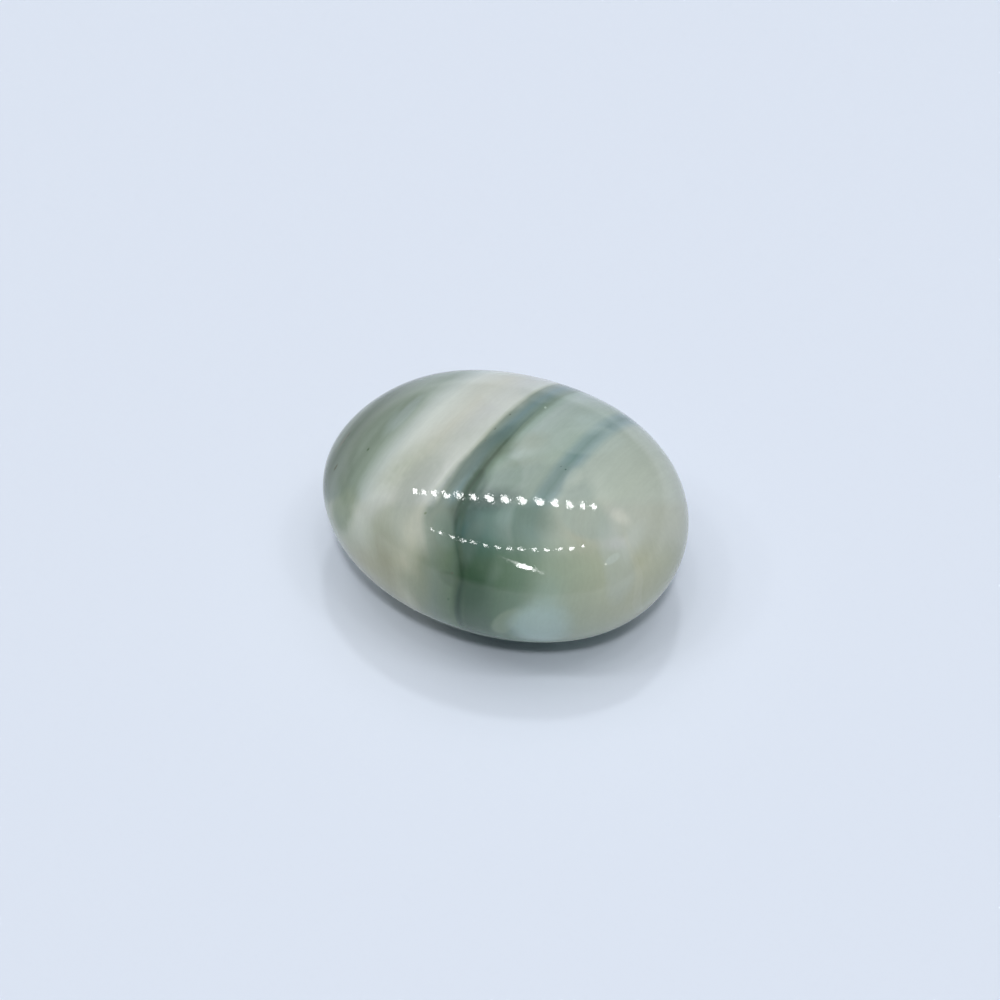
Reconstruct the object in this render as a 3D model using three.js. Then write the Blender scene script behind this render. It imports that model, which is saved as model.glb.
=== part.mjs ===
// Agate palm stone: one pebble of banded agate, ground by hand to an oval that fills a palm, then polished.
// Millimetres, +Z up. X runs along the stone, Y across it, and z = 0 is the surface that it rests on.
import * as THREE from "three";
import { mergeVertices } from "three/addons/utils/BufferGeometryUtils.js";

// Caliper sizes of the finished stone.
const length = 52;
const width = 40.6;
const height = 28;

// The pebble before its flat spot is ground, as three half axes of an ellipsoid about its own centre.
const halfLength = 26;
const halfWidth = 20;
const halfThickness = 14;

// The flat spot: how deep it is ground, and how far up its rim is rounded over by the polishing.
const flatDepth = 0.45;
const rimEase = 0.3;

// Squares along each edge of the cube that is rounded into the pebble.
const divisions = 24;

// Where the hand work left the oval fuller or flatter. Each place is given by its bearing about +Z from +X
// and its rise above the middle, in degrees. The push is how far the surface stands out there (in, if it is
// negative), and the reach is how far from there the push has faded away, both in millimetres.
const swells = [
  { place: "back right shoulder", bearing: 60, rise: 20, push: 0.93, reach: 22 },
  { place: "back left shoulder", bearing: 130, rise: 15, push: 1.0, reach: 22 },
  { place: "blunt right end", bearing: 0, rise: 0, push: -0.88, reach: 18 },
  { place: "tapered left end", bearing: 186, rise: -30, push: -0.4, reach: 18 },
  { place: "full front belly", bearing: 325, rise: -35, push: 0.25, reach: 18 },
];

const halfAxes = new THREE.Vector3(halfLength, halfWidth, halfThickness);

// A ball of near-square facets: a finely divided cube, its corners all brought to the same radius.
function roundedCube() {
  const cube = new THREE.BoxGeometry(2, 2, 2, divisions, divisions, divisions);
  cube.deleteAttribute("normal");
  cube.deleteAttribute("uv");
  const ball = mergeVertices(cube);
  const corner = new THREE.Vector3();
  const positions = ball.getAttribute("position");
  for (let i = 0; i < positions.count; i++) {
    corner.fromBufferAttribute(positions, i).normalize();
    positions.setXYZ(i, corner.x, corner.y, corner.z);
  }
  return ball;
}

// The point of the plain ellipsoid in the swell's direction, and the push along the surface normal there.
function swellOnEllipsoid({ bearing, rise, push }) {
  const turn = THREE.MathUtils.degToRad(bearing);
  const lift = THREE.MathUtils.degToRad(rise);
  const direction = new THREE.Vector3(
    Math.cos(turn) * Math.cos(lift),
    Math.sin(turn) * Math.cos(lift),
    Math.sin(lift),
  );
  const centre = direction.clone().divideScalar(direction.clone().divide(halfAxes).length());
  const offset = centre.clone().divide(halfAxes).divide(halfAxes).setLength(push);
  return { centre, offset };
}

// 1 at the middle of a swell, falling smoothly to 0 at its reach.
function fade(distance, reach) {
  return THREE.MathUtils.smoothstep(reach - distance, 0, reach);
}

// Height above the ground plane after grinding: what was below it is flat, and its rim runs out smoothly.
function groundHeight(above) {
  if (above <= 0) return 0;
  if (above < rimEase) return (above * above) / (2 * rimEase);
  return above - rimEase / 2;
}

function palmStone() {
  const pebble = roundedCube();
  pebble.scale(halfLength, halfWidth, halfThickness);
  const positions = pebble.getAttribute("position");
  const point = new THREE.Vector3();

  for (const swell of swells) {
    const { centre, offset } = swellOnEllipsoid(swell);
    for (let i = 0; i < positions.count; i++) {
      point.fromBufferAttribute(positions, i);
      point.addScaledVector(offset, fade(point.distanceTo(centre), swell.reach));
      positions.setXYZ(i, point.x, point.y, point.z);
    }
  }

  pebble.computeBoundingBox();
  const groundPlane = pebble.boundingBox.min.z + flatDepth;
  for (let i = 0; i < positions.count; i++) {
    positions.setZ(i, groundHeight(positions.getZ(i) - groundPlane));
  }

  // Brought to the caliper sizes, standing on z = 0 with its length and width centred on the origin.
  pebble.computeBoundingBox();
  const { min, max } = pebble.boundingBox;
  pebble.translate(-(min.x + max.x) / 2, -(min.y + max.y) / 2, -min.z);
  pebble.scale(length / (max.x - min.x), width / (max.y - min.y), height / (max.z - min.z));
  pebble.computeVertexNormals();
  return pebble;
}

// Polished agate: grey-green chalcedony on the whole, under a glassy skin.
const polishedAgate = new THREE.MeshStandardMaterial({
  color: "#a9b3a4",
  roughness: 0.08,
  metalness: 0,
});

const stone = new THREE.Mesh(palmStone(), polishedAgate);
stone.name = "stone";

const agatePalmStone = new THREE.Group();
agatePalmStone.name = "agate_palm_stone";
agatePalmStone.add(stone);

export default agatePalmStone;
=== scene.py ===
import math
import bpy
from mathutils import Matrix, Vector


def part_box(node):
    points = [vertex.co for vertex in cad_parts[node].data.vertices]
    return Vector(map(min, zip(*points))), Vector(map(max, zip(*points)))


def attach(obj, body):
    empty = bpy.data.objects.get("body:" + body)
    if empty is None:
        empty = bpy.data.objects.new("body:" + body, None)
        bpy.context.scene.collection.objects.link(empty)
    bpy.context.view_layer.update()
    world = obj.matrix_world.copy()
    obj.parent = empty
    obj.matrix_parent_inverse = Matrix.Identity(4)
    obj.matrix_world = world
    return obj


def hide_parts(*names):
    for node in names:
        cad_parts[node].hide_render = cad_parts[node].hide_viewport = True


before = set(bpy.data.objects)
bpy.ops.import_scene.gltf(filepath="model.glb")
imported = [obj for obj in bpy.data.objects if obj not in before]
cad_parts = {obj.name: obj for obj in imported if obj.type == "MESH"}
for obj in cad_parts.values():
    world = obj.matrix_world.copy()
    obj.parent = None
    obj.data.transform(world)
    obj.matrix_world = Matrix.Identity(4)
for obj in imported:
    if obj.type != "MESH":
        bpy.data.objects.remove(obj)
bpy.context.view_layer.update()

mm = 0.001  # everything in the scene is in metres
stoneLow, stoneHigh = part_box("stone")
stoneSize = stoneHigh - stoneLow
stoneMiddle = (stoneLow + stoneHigh) / 2


# sRGB hex to the linear colour that Blender's sockets take
def linearColour(hexColour):
    channels = [int(hexColour[i:i + 2], 16) / 255 for i in (1, 3, 5)]
    return [c / 12.92 if c <= 0.04045 else ((c + 0.055) / 1.055) ** 2.4 for c in channels] + [1.0]


# Adds one node, sets its properties, and fills its inputs with values or other nodes' outputs
def addNode(tree, kind, settings=None, inputs=None):
    made = tree.nodes.new(kind)
    for name, value in (settings or {}).items():
        setattr(made, name, value)
    for name, value in (inputs or {}).items():
        if isinstance(value, bpy.types.Node):
            value = [output for output in value.outputs if output.enabled][0]
        if isinstance(value, bpy.types.NodeSocket):
            tree.links.new(value, made.inputs[name])
        else:
            made.inputs[name].default_value = value
    return made


# Edit mode with just those vertices selected that pass a test on their place
def pickVertices(piece, test):
    bpy.ops.object.mode_set(mode="EDIT")
    bpy.ops.mesh.select_mode(type="VERT")
    bpy.ops.mesh.select_all(action="DESELECT")
    bpy.ops.object.mode_set(mode="OBJECT")
    for vertex in piece.data.vertices:
        vertex.select = test(vertex)
    bpy.ops.object.mode_set(mode="EDIT")


# Directions as seen by the photographer
view = {
    "bearing": 23.4,      # degrees round the stone from its front
    "rise": 47.0,         # degrees above the table
    "distance": 350,      # mm from the stone's middle
    "frameWidth": 138.2,  # mm across the picture at the stone
    "aimRight": -0.58,    # mm from the stone's middle to the picture's middle
    "aimUp": 0.44,
    "sensor": 36,         # mm
}
bearing = math.radians(view["bearing"])
rise = math.radians(view["rise"])
towardCamera = Vector((
    math.sin(bearing) * math.cos(rise), -math.cos(bearing) * math.cos(rise), math.sin(rise)))
pictureRight = Vector((math.cos(bearing), math.sin(bearing), 0))
pictureUp = towardCamera.cross(pictureRight)
pictureDeep = Vector((-math.sin(bearing), math.cos(bearing), 0))  # level, away from the camera


def makeCamera():
    aim = stoneMiddle + (pictureRight * view["aimRight"] + pictureUp * view["aimUp"]) * mm
    bpy.ops.object.camera_add(location=aim + towardCamera * view["distance"] * mm)
    camera = bpy.context.object
    camera.name = "camera"
    camera.rotation_euler = (-towardCamera).to_track_quat("-Z", "Y").to_euler()
    camera.data.sensor_width = view["sensor"]
    camera.data.lens = view["sensor"] * view["distance"] / view["frameWidth"]
    camera.data.clip_start = 0.01
    camera.data.clip_end = 20
    bpy.context.scene.camera = camera


makeCamera()
print("camera placed")

# The stone: an oval pebble, ground by hand, so a little fuller in some places than in others
stone = {
    "cuts": 23,                  # cuts along each edge of the cube that is rounded into the pebble
    "halfAxes": (26, 20, 14),    # mm, before the flat spot is ground
    "swells": [                  # bearing and rise in degrees, push and reach in mm
        (60, 20, 0.93, 22),      # back right shoulder, fuller
        (130, 15, 1.0, 22),      # back left shoulder, fuller
        (0, 0, -0.88, 18),       # right end, blunter
        (186, -30, -0.4, 18),    # left end, tapered below
        (325, -35, 0.25, 18),    # front belly, fuller
    ],
    "flatDepth": 0.45,           # mm ground off the underside
    "rippleHeight": 0.03,        # mm, what the polishing wheel leaves on the oval
    "rippleWidth": 9,            # mm
    "smoothLevels": 2,
}


# Where a swell's middle lies on the plain oval, and how far and which way the surface moves there
def swellOnOval(swellBearing, swellRise, push):
    turn, lift = math.radians(swellBearing), math.radians(swellRise)
    way = Vector((math.cos(turn) * math.cos(lift), math.sin(turn) * math.cos(lift), math.sin(lift)))
    axes = stone["halfAxes"]
    place = way / Vector([way[i] / axes[i] for i in range(3)]).length
    outward = Vector([place[i] / axes[i] ** 2 for i in range(3)]).normalized()
    return place * mm, outward * push * mm


def makeStone():
    bpy.ops.object.select_all(action="DESELECT")
    bpy.ops.mesh.primitive_cube_add(size=2, location=(0, 0, 0))
    piece = bpy.context.object
    piece.name = "banded_agate"
    bpy.ops.object.mode_set(mode="EDIT")
    bpy.ops.mesh.select_all(action="SELECT")
    bpy.ops.mesh.subdivide(number_cuts=stone["cuts"])
    bpy.ops.transform.tosphere(value=1.0)
    bpy.ops.object.mode_set(mode="OBJECT")
    radius = piece.data.vertices[0].co.length
    bpy.ops.object.mode_set(mode="EDIT")
    bpy.ops.mesh.select_all(action="SELECT")
    bpy.ops.transform.resize(value=[half * mm / radius for half in stone["halfAxes"]])

    for swellBearing, swellRise, push, reach in stone["swells"]:
        place, offset = swellOnOval(swellBearing, swellRise, push)
        bpy.ops.object.mode_set(mode="OBJECT")
        nearest = min(piece.data.vertices, key=lambda vertex: (vertex.co - place).length).index
        pickVertices(piece, lambda vertex: vertex.index == nearest)
        bpy.ops.transform.translate(
            value=offset, use_proportional_edit=True, proportional_edit_falloff="SMOOTH",
            proportional_size=reach * mm, use_proportional_connected=False)
    bpy.ops.object.mode_set(mode="OBJECT")

    ripple = bpy.data.textures.new("wheelRipple", "CLOUDS")
    ripple.noise_scale = stone["rippleWidth"] * mm
    ripple.noise_depth = 0
    wheel = piece.modifiers.new("wheelRipple", "DISPLACE")
    wheel.texture = ripple
    wheel.texture_coords = "LOCAL"
    wheel.mid_level = 0.5
    wheel.strength = stone["rippleHeight"] * mm
    bpy.ops.object.modifier_apply(modifier=wheel.name)

    ground = min(vertex.co.z for vertex in piece.data.vertices) + stone["flatDepth"] * mm
    pickVertices(piece, lambda vertex: vertex.co.z < ground)
    bpy.ops.transform.resize(value=(1, 1, 0), center_override=(0, 0, ground))
    bpy.ops.object.mode_set(mode="OBJECT")
    rim = ground + stone["flatDepth"] * mm
    pickVertices(piece, lambda vertex: ground + 0.001 * mm < vertex.co.z < rim)
    bpy.ops.mesh.vertices_smooth(factor=0.5, repeat=2)
    bpy.ops.object.mode_set(mode="OBJECT")

    smooth = piece.modifiers.new("smooth", "SUBSURF")
    smooth.levels = stone["smoothLevels"]
    smooth.render_levels = stone["smoothLevels"]
    bpy.ops.object.modifier_apply(modifier=smooth.name)

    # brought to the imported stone's own length, width and height, standing on the table
    places = [vertex.co for vertex in piece.data.vertices]
    low = Vector([min(place[i] for place in places) for i in range(3)])
    high = Vector([max(place[i] for place in places) for i in range(3)])
    middle = (low + high) / 2
    bpy.ops.object.mode_set(mode="EDIT")
    bpy.ops.mesh.select_all(action="SELECT")
    bpy.ops.transform.translate(
        value=(stoneMiddle.x - middle.x, stoneMiddle.y - middle.y, stoneLow.z - low.z))
    bpy.ops.transform.resize(
        value=[stoneSize[i] / (high - low)[i] for i in range(3)],
        center_override=(stoneMiddle.x, stoneMiddle.y, stoneLow.z))
    bpy.ops.object.mode_set(mode="OBJECT")
    bpy.ops.object.shade_smooth()
    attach(piece, "root")
    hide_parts("stone")
    return piece


banded = makeStone()
print("stone shaped:", len(banded.data.polygons), "faces")


# Banded agate, a fine-grained quartz, ground across its bands and polished. Its skin is as clear and glassy
# as a lens, and light goes a little way in, so the bands have soft edges and the pale ones look milky.
# Places are in mm from the stone's middle: "across" runs through the bands from the grey end, "forward"
# down the sloping face, and "outward" straight out of that face.
agate = {
    "ior": 1.54,
    "roughness": 0.04,
    "across": (1, -0.192, 0.007),
    "bend": (0.00325, -0.00105, 0),      # per mm, how the bands fan out and curve
    "forward": (0.29, -0.671, -0.682),
    "outward": (0.271, -0.626, 0.731),
    "dip": {"from": 0, "to": 11, "reach": 4.25},  # mm, the bands turn down into the front
    "waver": {"size": 1.8, "reach": 0.14},        # mm, how the bands stray from a smooth curve
    "span": 26,                          # mm, half the length that the bands below are laid out on
    "topBands": [
        (-26, "#8a947f"), (-24.4, "#67765f"), (-23.2, "#7d8a76"), (-22.2, "#5f6d58"), (-21, "#586751"),
        (-18.8, "#7f8c7f"), (-16.8, "#8c9a8d"), (-14.6, "#8b9a8b"), (-12, "#bac4be"), (-10.6, "#ccd3cc"),
        (-7, "#c6c9be"), (-4.5, "#c6cbc8"), (-2.3, "#cdd3ce"), (-1.85, "#b9c1b3"), (-1.45, "#859286"),
        (0, "#6f898b"), (1.6, "#738677"), (2.2, "#99aca2"), (3.4, "#aab9b4"), (8.4, "#9baca0"),
        (9.4, "#7e9694"), (10.2, "#6e8985"), (11, "#899f9f"), (12.2, "#adb9af"), (18, "#b2bcaf"),
        (22, "#b8c1b5"), (26, "#b6beb2")],
    "browBands": [
        (-26, "#acb4a1"), (-17, "#abb3a0"), (-14.5, "#b0b8a5"), (-12, "#b9c0b2"), (-9.5, "#a6ac9a"),
        (-6.5, "#b0b7a9"), (-3.2, "#b8bcae"), (-2.4, "#96a194"), (0.6, "#5c6d60"), (1.8, "#395a56"),
        (5, "#53736a"), (7.4, "#70867c"), (7.9, "#607a6e"), (10, "#6b847b"), (12.5, "#9ba799"),
        (15, "#a3a795"), (18, "#b1b8ae"), (26, "#b8bdac")],
    "frontBands": [
        (-26, "#acae98"), (-12, "#a9aa91"), (-9, "#9ea087"), (-6, "#b0b29b"), (-4.2, "#89927b"),
        (-2.4, "#778675"), (0.6, "#5c7257"), (2, "#445d48"), (4.6, "#526a56"), (5.6, "#5d755f"),
        (8, "#6e8571"), (11, "#92a28f"), (15, "#a0aa95"), (20, "#b0b49d"), (26, "#aab199")],
    "brow": (-0.2, 2.0),                 # forward, where the top's colours give way to the brow's
    "front": (4.5, 9.5),                 # and the brow's to the front's
    "ragged": {"size": 1.2, "reach": 0.15},  # mm, and the share by which a patch's edge strays
    # size in mm across, forward and outward, detail, and how much lighter and darker
    "layers": ((0.5, 9, 9), 3.0, 0.02),      # real layers are finer than 0.1 mm and wouldn't show
    "clouds": ((3, 4, 4), 3.0, 0.02),
    "fibres": ((0.3, 0.9, 0.6), 2.0, 0.02),  # real fibres are finer than 0.05 mm and wouldn't show
    "dimples": {"size": 0.5, "depth": 0.007},  # mm, coarser than a wheel's real marks, so that they show
    "milkiness": 0.15,
    "glowDepth": 0.4,                        # mm that light spreads inside
}


# What has grown into the bands, and at the right end a few painted reflections and a painted glint, one
# marking to a line:
# name, place (across, forward, outward), half sizes the same way, turn in the face in degrees, colour,
# strength, and the share that is even before it fades
patches = [
    # grey end
    ("pale streak", (-14.6, -11.5, 2.5), (1.3, 4, 5), -10, "#a5b2b1", 0.5, 0.6),
    ("dark streak", (-16.1, -9.5, 5.5), (1.2, 14, 5), 0, "#647362", 0.3, 0.1),
    ("dark streak", (-17.8, -4, 6.5), (2.2, 10.5, 5), -20, "#5b6a56", 0.35, 0.3),
    ("olive cloud", (-15.2, 1, 6), (3.5, 4.5, 5), 40, "#8c9983", 0.95, 0.4),
    ("brown streak", (-21.8, -8.5, 0.5), (0.45, 2.2, 5), 0, "#706b55", 0.5, 0),
    ("pale cloud", (-13.2, -15.5, 2.5), (2.4, 4, 6), -70, "#d4dfdd", 0.25, 0.3),
    ("pale line", (-15.6, -11, 5), (1.1, 3.5, 8), -25, "#9aa9a3", 0.55, 0),
    ("olive line", (-16.3, -2, 6), (1.2, 4, 8), -40, "#5b6e4c", 0.35, 0.2),
    ("black dash", (-19.9, -4.9, 2.8), (0.28, 0.67, 3), 5, "#4b4f30", 0.85, 0.3),
    ("brown dash", (-21.5, -9.4, 0.6), (0.27, 0.59, 3), -10, "#45432f", 0.6, 0.2),
    ("brown dash", (-21.4, -8.5, 1), (0.23, 0.43, 3), -5, "#4c4a35", 0.5, 0.2),
    ("dark dash", (-15.9, -7.3, 6), (0.26, 0.35, 3), -15, "#586b51", 0.85, 0.2),
    # milky and cream bands
    ("olive cloud", (-8, -4, 8), (6.5, 5.5, 6), -70, "#a8b09d", 0.95, 0.1),
    ("milk", (-10.1, 0.5, 10), (2.9, 4.5, 6), 45, "#c5cbc5", 0.6, 0),
    ("blue milk", (-12.1, -18.5, 6.5), (5.5, 10.5, 6), -30, "#d4dcd8", 0.15, 0.7),
    ("beige streak", (-3.9, -4, 9), (5, 10.5, 7), -5, "#a9b1a3", 0.45, 0.3),
    ("pale streak", (-6.4, -16, 6), (2, 7, 6), -60, "#d1d7d1", 0.55, 0.6),
    ("grey streak", (-5.7, -2.5, 12), (3.5, 6, 5), -5, "#a0a89f", 0.7, 0.3),
    ("white streak", (-2.5, -4.5, 13), (0.4, 5, 5), 10, "#bdc4b8", 0.5, 0.7),
    # dark band and dark line
    ("pale edge", (-0.5, -12.5, 7), (1.8, 14, 5), -5, "#9ba9a4", 0.15, 0.8),
    ("slate core", (-0.76, -5.4, 12), (2, 11.2, 5), 13, "#546a63", 0.7, 0.4),
    ("dark fuzz", (2.44, -0.3, 14), (1.55, 8, 4), -13, "#2d4f43", 0.65, 0.4),
    ("branch", (1.78, -7.2, 12.5), (2.4, 3.1, 4), -11, "#5b705a", 0.7, 0),
    ("fade", (0.5, -13.5, 1.5), (7.5, 4.5, 4), 70, "#b3c3c3", 0.15, 0.8),
    ("pale streak", (1.68, -11.6, 7), (0.95, 13.6, 8), -2, "#899c92", 0.4, 0.1),
    ("dark line", (0.94, -3, 12.5), (1.45, 7.1, 8), 3, "#3a513a", 0.85, 0),
    ("dark line", (1.45, -1, 15.5), (0.95, 5.5, 8), -8, "#234832", 0.85, 0.4),
    ("pale streak", (1.84, 6.4, 16.5), (1.7, 6.5, 8), 32, "#5e7166", 0.6, 0.2),
    ("dark line", (1.14, 16.7, 14), (0.7, 14, 8), 0, "#2a4b3a", 0.65, 0.4),
    ("dark shade", (1.1, 10, 14), (1.25, 7.1, 8), 3, "#374b3a", 0.7, 0.1),
    ("dark seam", (1.15, -11.4, 7), (0.4, 2, 8), 1, "#617570", 0.35, 0.1),
    ("dark seam", (1.14, -2.2, 12.5), (0.4, 12.4, 8), 1, "#1e3422", 0.5, 0.2),
    ("dark seam", (1.36, 2.1, 15.5), (0.4, 2.3, 8), 6, "#233f2d", 0.75, 0),
    ("dark seam", (1.44, 5.6, 16.5), (0.4, 5.2, 8), 8, "#556350", 0.25, 0.4),
    ("dark seam", (1.1, 11.8, 14), (0.4, 9.5, 8), -1, "#253b29", 0.55, 0),
    ("speck", (-1.3, -12, 7.8), (0.12, 0.21, 2), -40, "#61685b", 0.8, 0.2),
    ("speck", (-1.3, -10, 9.8), (0.12, 0.22, 2), -30, "#63695a", 0.7, 0.2),
    ("speck", (-1.2, -8.4, 11.1), (0.13, 0.26, 2), -20, "#6f7568", 0.6, 0.2),
    # sage band
    ("green cloud", (4, -3.8, 14), (4, 2, 4), 45, "#6a8673", 0.35, 0.7),
    ("pale cloud", (4.2, -8.5, 12), (2.3, 3, 4), -65, "#9faa9d", 0.65, 0.2),
    ("dark streak", (5, -5.5, 13.5), (4.5, 1.8, 4), -15, "#7b8977", 0.45, 0),
    ("dark cloud", (7.5, -3, 15), (8, 3.5, 5), -5, "#61756c", 0.35, 0.5),
    ("white dot and painted glint", (1.7, -13, 5.9), (0.32, 0.11, 2), 35, "#aabcb0", 0.95, 0.4),
    # second dark band
    ("pale end", (8.9, -12, 7), (3.5, 4.5, 5), -65, "#becfcf", 0.4, 0.3),
    ("pale streak", (10.4, -9, 10.5), (5, 2.8, 5), 5, "#b8c8c2", 0.2, 0.8),
    ("yellow streak", (11.9, -3, 13.5), (1.2, 2.6, 5), -20, "#b8c3b7", 0.4, 0.4),
    ("green cloud", (13.5, -1, 14.5), (2.9, 2.2, 5), 50, "#8d9c93", 0.7, 0.4),
    ("speck", (10.3, -4.5, 13.6), (0.16, 0.11, 2), 40, "#39514e", 0.9, 0.3),
    ("speck", (9.6, -4.9, 13.4), (0.13, 0.11, 2), 5, "#42544f", 0.6, 0.2),
    # brow
    ("deep teal", (4.1, -0.5, 16.5), (5.5, 2.5, 5), 0, "#24433b", 0.8, 0),
    ("pale teal", (6.9, 1.5, 16.5), (1.6, 2.5, 4), 5, "#8faba6", 0.2, 0.2),
    ("dark cloud", (10.6, 2, 17), (4, 2.4, 5), 40, "#506958", 0.4, 0.1),
    ("beige cloud", (15.4, 2, 16.5), (4, 2.7, 6), 50, "#96a499", 0.75, 0.6),
    # left of the line in front
    ("cream lump", (-4.7, 5, 14), (1.6, 4, 5), 0, "#cecfba", 0.3, 0),
    ("brown cloud", (-8.2, 5.5, 11.5), (3, 4, 6), 30, "#888b71", 0.25, 0.3),
    ("pink grey cloud", (-5, 11, 11.5), (2.2, 4, 6), -45, "#8a947d", 0.65, 0.2),
    ("green grey", (-0.3, 3.5, 15.5), (1.7, 3.5, 6), -5, "#8ba195", 0.25, 0.5),
    ("green spot", (-2.7, 1.3, 14.4), (0.28, 0.24, 3), -35, "#6d7c5c", 0.7, 0.1),
    # right of the line in front
    ("deep green", (2.3, 11.5, 17), (2.8, 4.5, 6), -15, "#2c4b33", 0.45, 0.3),
    ("wisp and painted reflection", (5.1, 9, 17), (1.3, 2.8, 4), 20, "#798e7f", 0.35, 0),
    ("beige streak", (6.5, 16.5, 15.5), (1.6, 4, 5), 40, "#80927c", 0.95, 0.7),
    ("pale window", (10.8, 16.5, 14.5), (4.5, 5, 8), 25, "#afc5c0", 0.65, 0.4),
    ("pale window", (11.5, 12.5, 16), (2.9, 5, 8), -15, "#99b5b0", 0.25, 0),
    ("haze", (-0.4, 10, 15.5), (1.1, 2.2, 3), -60, "#384c36", 0.25, 0.5),
    ("brown speck", (-0.1, 9.2, 15.7), (0.26, 0.25, 3), -5, "#655f54", 0.5, 0),
    ("green speck", (-0.2, 12.7, 13.9), (0.28, 0.3, 3), -20, "#46604a", 0.6, 0),
    # right end; the three wisps here are painted reflections, soft pale blobs of light put into the stone's
    # colour
    ("wisp and painted reflection", (19, 1.8, 15), (1, 2, 4), -40, "#c6cabe", 0.8, 0.2),
    ("wisp and painted reflection", (18.5, 5.3, 16), (2.2, 1.3, 4), -15, "#cbcccb", 0.5, 0.1),
    ("wisp and painted reflection", (17.7, 7.3, 16.5), (0.5, 1.3, 3), 45, "#b8c2b4", 0.95, 0.6),
    ("pale oval", (18.1, 8, 16), (1.9, 7, 6), -5, "#afbab5", 0.4, 0.5),
    ("beige streak", (19.9, 5, 14.5), (1.2, 4.5, 6), 25, "#bdc5bc", 0.55, 0.2),
    ("thin line", (20.2, 13, 13.5), (0.4, 14, 6), -5, "#c0c4b3", 0.2, 0.7),
    # painted glint: this white dot is a small bright reflection put into the stone's colour, not a mark in
    # the stone
    ("white dot and painted glint", (16.9, 8, 16.6), (0.16, 0.2, 2), 25, "#d7ddcf", 0.95, 0.4),
]


# One patch or streak: an ellipsoid in the bands' own directions with a soft ragged edge
def addPatch(tree, colour, grain, ragged, patch):
    name, place, halves, turn, patchColour, strength, core = patch
    oval = addNode(tree, "ShaderNodeMapping", {"vector_type": "TEXTURE", "label": name}, {
        "Vector": grain, "Location": place, "Rotation": (0, 0, math.radians(turn)), "Scale": halves})
    nearness = addNode(tree, "ShaderNodeTexGradient", {"gradient_type": "SPHERICAL"}, {"Vector": oval})
    edge = addNode(tree, "ShaderNodeMath", {"operation": "MULTIPLY"}, {
        0: nearness.outputs["Fac"], 1: ragged})
    inside = addNode(tree, "ShaderNodeMapRange", {"interpolation_type": "SMOOTHSTEP"}, {
        "Value": edge, "From Min": 0.0, "From Max": 1 - core, "To Min": 0.0, "To Max": strength})
    return addNode(tree, "ShaderNodeMix", {"data_type": "RGBA"}, {
        0: inside, 6: colour, 7: linearColour(patchColour)})


# One set of bands, as colours along a line through them
def bandColours(tree, share, bands):
    ramp = addNode(tree, "ShaderNodeValToRGB", inputs={"Fac": share})
    while len(ramp.color_ramp.elements) < len(bands):
        ramp.color_ramp.elements.new(0.5)
    for stop, (place, colour) in zip(ramp.color_ramp.elements, bands):
        stop.position = (place + agate["span"]) / (2 * agate["span"])
        stop.color = linearColour(colour)
    return ramp


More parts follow.
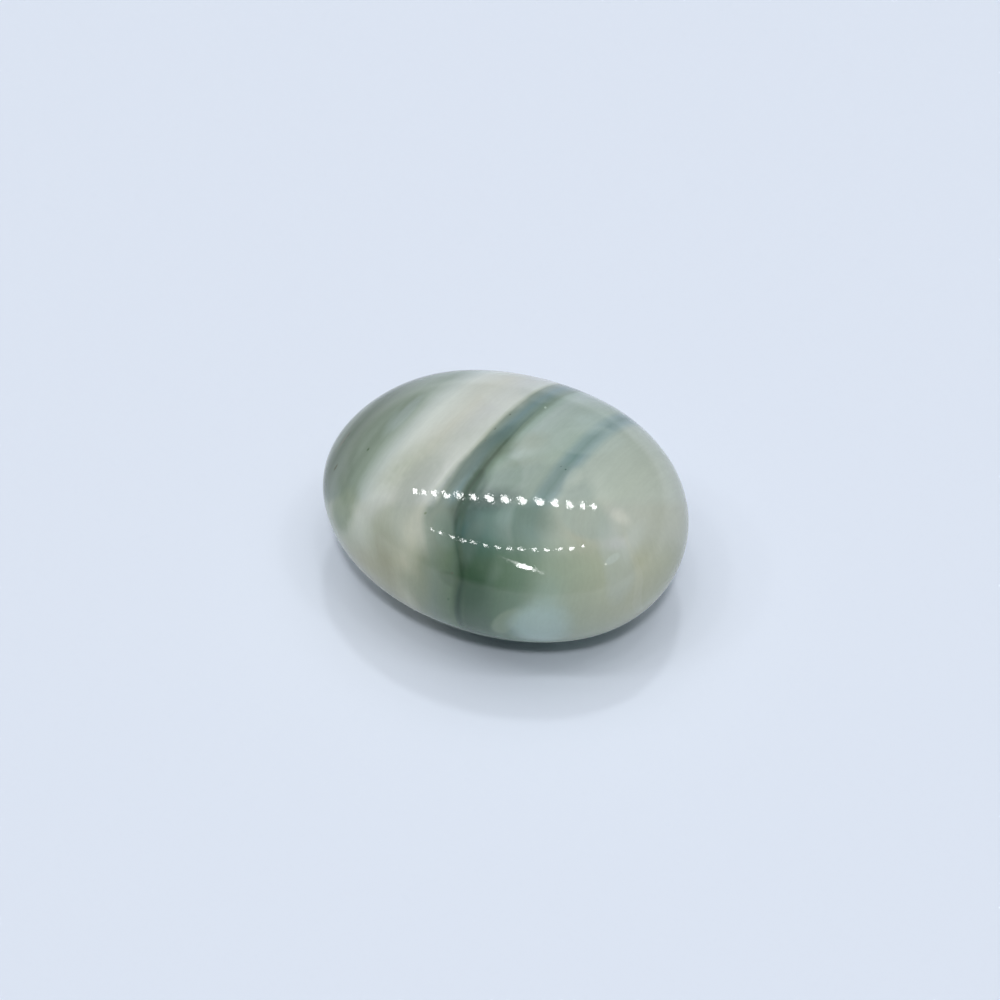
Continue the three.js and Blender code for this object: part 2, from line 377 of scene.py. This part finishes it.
def polishedAgate():
    material = bpy.data.materials.new("polished banded agate")
    material.use_nodes = True
    tree = material.node_tree
    tree.nodes.clear()
    inside = addNode(tree, "ShaderNodeTexCoord").outputs["Object"]
    place = addNode(tree, "ShaderNodeMapping", inputs={
        "Vector": inside, "Location": [-part / mm for part in stoneMiddle],
        "Scale": (1 / mm, 1 / mm, 1 / mm)})

    # how far through the bands a place lies
    straight = addNode(tree, "ShaderNodeVectorMath", {"operation": "DOT_PRODUCT"}, {
        0: place, 1: agate["across"]})
    width = addNode(tree, "ShaderNodeSeparateXYZ", inputs={0: place}).outputs["Y"]
    bend = addNode(tree, "ShaderNodeVectorMath", {"operation": "DOT_PRODUCT"}, {
        0: place, 1: agate["bend"]})
    across = addNode(tree, "ShaderNodeMath", {"operation": "MULTIPLY_ADD"}, {
        0: width, 1: bend, 2: straight})
    wave = addNode(tree, "ShaderNodeTexNoise", inputs={
        "Vector": place, "Scale": 1 / agate["waver"]["size"], "Detail": 1.0})
    offset = addNode(tree, "ShaderNodeMath", {"operation": "SUBTRACT"}, {0: wave, 1: 0.5})
    across = addNode(tree, "ShaderNodeMath", {"operation": "MULTIPLY_ADD"}, {
        0: offset, 1: agate["waver"]["reach"], 2: across})
    forward = addNode(tree, "ShaderNodeVectorMath", {"operation": "DOT_PRODUCT"}, {
        0: place, 1: agate["forward"]})
    outward = addNode(tree, "ShaderNodeVectorMath", {"operation": "DOT_PRODUCT"}, {
        0: place, 1: agate["outward"]})
    dip = addNode(tree, "ShaderNodeMapRange", {"interpolation_type": "SMOOTHSTEP"}, {
        "Value": forward, "From Min": agate["dip"]["from"], "From Max": agate["dip"]["to"],
        "To Min": 0.0, "To Max": agate["dip"]["reach"]})
    across = addNode(tree, "ShaderNodeMath", {"operation": "SUBTRACT"}, {0: across, 1: dip})
    grain = addNode(tree, "ShaderNodeCombineXYZ", inputs={"X": across, "Y": forward, "Z": outward})
    edgeNoise = addNode(tree, "ShaderNodeTexNoise", inputs={
        "Vector": place, "Scale": 1 / agate["ragged"]["size"], "Detail": 2.0})
    ragged = addNode(tree, "ShaderNodeMapRange", inputs={
        "Value": edgeNoise, "From Min": 0.25, "From Max": 0.75,
        "To Min": 1 - agate["ragged"]["reach"], "To Max": 1 + agate["ragged"]["reach"]})

    # the bands, which change their colours from the top over the brow to the front
    share = addNode(tree, "ShaderNodeMapRange", inputs={
        "Value": across, "From Min": -agate["span"], "From Max": agate["span"]})
    colour = bandColours(tree, share, agate["topBands"])
    brokenForward = addNode(tree, "ShaderNodeMath", {"operation": "ADD"}, {0: ragged, 1: forward})
    for zone in ("brow", "front"):
        entered = addNode(tree, "ShaderNodeMapRange", {"interpolation_type": "SMOOTHSTEP"}, {
            "Value": brokenForward, "From Min": agate[zone][0], "From Max": agate[zone][1]})
        colour = addNode(tree, "ShaderNodeMix", {"data_type": "RGBA"}, {
            0: entered, 6: colour, 7: bandColours(tree, share, agate[zone + "Bands"])})
    for patch in patches:
        colour = addPatch(tree, colour, grain, ragged, patch)

    # fine parallel layers, clouds and a fibrous speckle make the stone lighter and darker
    shade = None
    for texture in ("layers", "clouds", "fibres"):
        stretch, detail, depth = agate[texture]
        stretched = addNode(tree, "ShaderNodeVectorMath", {"operation": "DIVIDE"}, {
            0: grain, 1: stretch})
        noise = addNode(tree, "ShaderNodeTexNoise", inputs={
            "Vector": stretched, "Scale": 1.0, "Detail": detail})
        factor = addNode(tree, "ShaderNodeMapRange", inputs={
            "Value": noise, "From Min": 0.3, "From Max": 0.7, "To Min": 1 - depth, "To Max": 1 + depth})
        if shade:
            factor = addNode(tree, "ShaderNodeMath", {"operation": "MULTIPLY"}, {0: shade, 1: factor})
        shade = factor
    colour = addNode(tree, "ShaderNodeVectorMath", {"operation": "SCALE"}, {0: colour, "Scale": shade})

    # what the polishing wheel leaves: a skin that is smooth but for very shallow dimples
    dimples = addNode(tree, "ShaderNodeTexNoise", inputs={
        "Vector": place, "Scale": 1 / agate["dimples"]["size"], "Detail": 1.0})
    polish = addNode(tree, "ShaderNodeBump", inputs={
        "Height": dimples, "Strength": 1.0, "Distance": agate["dimples"]["depth"] * mm})
    skin = addNode(tree, "ShaderNodeBsdfPrincipled", {"subsurface_method": "RANDOM_WALK"}, {
        "Base Color": colour, "Roughness": agate["roughness"], "IOR": agate["ior"],
        "Subsurface Weight": agate["milkiness"], "Subsurface Radius": (1, 1, 1),
        "Subsurface Scale": agate["glowDepth"] * mm, "Normal": polish})
    addNode(tree, "ShaderNodeOutputMaterial", inputs={"Surface": skin})
    return material


banded.data.materials.append(polishedAgate())
print("agate banded")

# The table: a plain matt sheet
table = {
    "width": 8000,        # mm
    "colour": "#dbe3f0",
    "roughness": 0.9,
    "sheen": 0.2,         # of its faint mirror effect
}


def makeTable():
    bpy.ops.object.select_all(action="DESELECT")
    bpy.ops.mesh.primitive_plane_add(size=table["width"] * mm, location=(0, 0, 0))
    sheet = bpy.context.object
    sheet.name = "table_sheet"
    material = bpy.data.materials.new("matt paper")
    material.use_nodes = True
    tree = material.node_tree
    tree.nodes.clear()
    paper = addNode(tree, "ShaderNodeBsdfPrincipled", inputs={
        "Base Color": linearColour(table["colour"]), "Roughness": table["roughness"],
        "Specular IOR Level": table["sheen"]})
    addNode(tree, "ShaderNodeOutputMaterial", inputs={"Surface": paper.outputs["BSDF"]})
    sheet.data.materials.append(material)


makeTable()
print("table laid")

# Soft studio light: a pale ceiling with rows of small lamps that the polish mirrors, a key lamp on the
# camera's side, one behind, and a strip of lamps overhead. All are far away. A place is given by how far it
# lies to the right and away from the camera, each as a share of its height.
studio = {
    "backdrop": "#dbe3f1",       # what shows behind the table
    "room": [(0.0, "#c8cdd6"), (0.2, "#45484d"), (0.7, "#484b50"), (0.93, "#ffffff")],
    "roomStrength": 1.36,        # the room's colours above are placed by the sine of their rise
    "lampEdge": (0.7, 1.3),      # shares of a lamp's radius between which its glow fades
    "flashEdge": (0.1, 1.1),     # the same for a flash
    "lampRows": [
        {"first": -0.85, "spacing": 0.105, "lamps": 14, "deep": 0.02, "bow": 0.1, "radius": 0.023,
         "tall": 1.9, "glow": 22},
        {"first": -1.055, "spacing": 0.117, "lamps": 14, "deep": -0.75, "bow": 0.2, "radius": 0.021,
         "tall": 1.8, "glow": 20},
    ],
    "key": {"right": 0.0, "deep": -0.59, "strength": 0.84, "width": 5},  # width in degrees
    "rear": {"right": 0.05, "deep": 0.35, "strength": 0.32, "width": 5},
    "strip": {"first": -0.75, "spacing": 0.3, "lamps": 5, "deep": -0.165, "strength": 0.115, "width": 4},
    "flashes": [
        {"right": -0.13, "deep": -1.35, "turn": -52, "length": 0.52, "width": 0.07, "glow": 6},
        {"right": -0.16, "deep": -1.34, "turn": -52, "length": 0.18, "width": 0.12, "glow": 40},
    ],
}


# A lamp that lights and shades, but is too dim and far to show in the polish
def addLamp(name, right, deep, strength, width):
    toward = (pictureRight * right + pictureDeep * deep + Vector((0, 0, 1))).normalized()
    bpy.ops.object.light_add(type="SUN", location=toward)
    lamp = bpy.context.object
    lamp.name = name
    lamp.rotation_euler = toward.to_track_quat("Z", "Y").to_euler()
    lamp.data.energy = strength
    lamp.data.angle = math.radians(width)
    lamp.visible_glossy = False


# The glow of one row of round lamps, towards each direction of the ceiling
def lampRowGlow(tree, rightward, deepward, row):
    half = (row["lamps"] - 1) / 2
    fromFirst = addNode(tree, "ShaderNodeMath", {"operation": "SUBTRACT"}, {
        0: rightward, 1: row["first"]})
    along = addNode(tree, "ShaderNodeMath", {"operation": "DIVIDE"}, {0: fromFirst, 1: row["spacing"]})
    rounded = addNode(tree, "ShaderNodeMath", {"operation": "ROUND"}, {0: along})
    nearest = addNode(tree, "ShaderNodeClamp", inputs={
        "Value": rounded, "Min": 0.0, "Max": row["lamps"] - 1.0})
    past = addNode(tree, "ShaderNodeMath", {"operation": "SUBTRACT"}, {0: along, 1: nearest})
    aside = addNode(tree, "ShaderNodeMath", {"operation": "MULTIPLY"}, {0: past, 1: row["spacing"]})
    fromMiddle = addNode(tree, "ShaderNodeMath", {"operation": "SUBTRACT"}, {0: nearest, 1: half})
    bow = addNode(tree, "ShaderNodeMath", {"operation": "POWER"}, {0: fromMiddle, 1: 2.0})
    deep = addNode(tree, "ShaderNodeMath", {"operation": "MULTIPLY_ADD"}, {
        0: bow, 1: row["bow"] / half ** 2, 2: row["deep"]})
    ahead = addNode(tree, "ShaderNodeMath", {"operation": "SUBTRACT"}, {0: deepward, 1: deep})
    squashed = addNode(tree, "ShaderNodeMath", {"operation": "DIVIDE"}, {0: ahead, 1: row["tall"]})
    away = addNode(tree, "ShaderNodeCombineXYZ", inputs={"X": aside, "Y": squashed})
    length = addNode(tree, "ShaderNodeVectorMath", {"operation": "LENGTH"}, {0: away})
    return addNode(tree, "ShaderNodeMapRange", {"interpolation_type": "SMOOTHSTEP"}, {
        "Value": length, "From Min": row["radius"] * studio["lampEdge"][0],
        "From Max": row["radius"] * studio["lampEdge"][1], "To Min": row["glow"], "To Max": 0.0})


# The glow of one flash, an oval seen towards its own direction
def flashGlow(tree, rightward, deepward, flash):
    place = addNode(tree, "ShaderNodeCombineXYZ", inputs={"X": rightward, "Y": deepward})
    oval = addNode(tree, "ShaderNodeMapping", {"vector_type": "TEXTURE"}, {
        "Vector": place, "Location": (flash["right"], flash["deep"], 0),
        "Rotation": (0, 0, math.radians(flash["turn"])), "Scale": (flash["length"], flash["width"], 1)})
    length = addNode(tree, "ShaderNodeVectorMath", {"operation": "LENGTH"}, {0: oval})
    return addNode(tree, "ShaderNodeMapRange", {"interpolation_type": "SMOOTHERSTEP"}, {
        "Value": length, "From Min": studio["flashEdge"][0], "From Max": studio["flashEdge"][1],
        "To Min": flash["glow"], "To Max": 0.0})


def lightStudio():
    for name in ("key", "rear"):
        lamp = studio[name]
        addLamp(name + "_lamp", lamp["right"], lamp["deep"], lamp["strength"], lamp["width"])
    strip = studio["strip"]
    for i in range(strip["lamps"]):
        right = strip["first"] + i * strip["spacing"]
        addLamp(f"strip_lamp{i}", right, strip["deep"], strip["strength"], strip["width"])

    world = bpy.data.worlds.new("studio")
    bpy.context.scene.world = world
    world.use_nodes = True
    tree = world.node_tree
    tree.nodes.clear()
    toward = addNode(tree, "ShaderNodeTexCoord").outputs["Generated"]
    up = addNode(tree, "ShaderNodeSeparateXYZ", inputs={0: toward}).outputs["Z"]
    room = addNode(tree, "ShaderNodeValToRGB", inputs={"Fac": up})
    room.color_ramp.interpolation = "EASE"
    while len(room.color_ramp.elements) < len(studio["room"]):
        room.color_ramp.elements.new(0.5)
    for stop, (place, colour) in zip(room.color_ramp.elements, studio["room"]):
        stop.position = place
        stop.color = linearColour(colour)

    above = addNode(tree, "ShaderNodeMath", {"operation": "MAXIMUM"}, {0: up, 1: 0.05})
    slopes = []
    for way in (pictureRight, pictureDeep):
        part = addNode(tree, "ShaderNodeVectorMath", {"operation": "DOT_PRODUCT"}, {0: toward, 1: way})
        slopes.append(addNode(tree, "ShaderNodeMath", {"operation": "DIVIDE"}, {0: part, 1: above}))
    glows = [flashGlow(tree, *slopes, flash) for flash in studio["flashes"]]
    glows += [lampRowGlow(tree, *slopes, row) for row in studio["lampRows"]]
    lamps = 0.0
    for glow in glows:
        lamps = addNode(tree, "ShaderNodeMath", {"operation": "ADD"}, {0: lamps, 1: glow})
    ray = addNode(tree, "ShaderNodeLightPath")
    mirrored = addNode(tree, "ShaderNodeMath", {"operation": "MULTIPLY"}, {
        0: lamps, 1: ray.outputs["Is Glossy Ray"]})
    roomLight = addNode(tree, "ShaderNodeVectorMath", {"operation": "SCALE"}, {
        0: room, "Scale": studio["roomStrength"]})
    lit = addNode(tree, "ShaderNodeVectorMath", {"operation": "ADD"}, {0: roomLight, 1: mirrored})
    seen = addNode(tree, "ShaderNodeMix", {"data_type": "RGBA"}, {
        0: ray.outputs["Is Camera Ray"], 6: lit, 7: linearColour(studio["backdrop"])})
    glow = addNode(tree, "ShaderNodeBackground", inputs={"Color": seen, "Strength": 1.0})
    addNode(tree, "ShaderNodeOutputWorld", inputs={"Surface": glow})


lightStudio()
bpy.context.scene.view_settings.view_transform = "Standard"
print("studio lit")
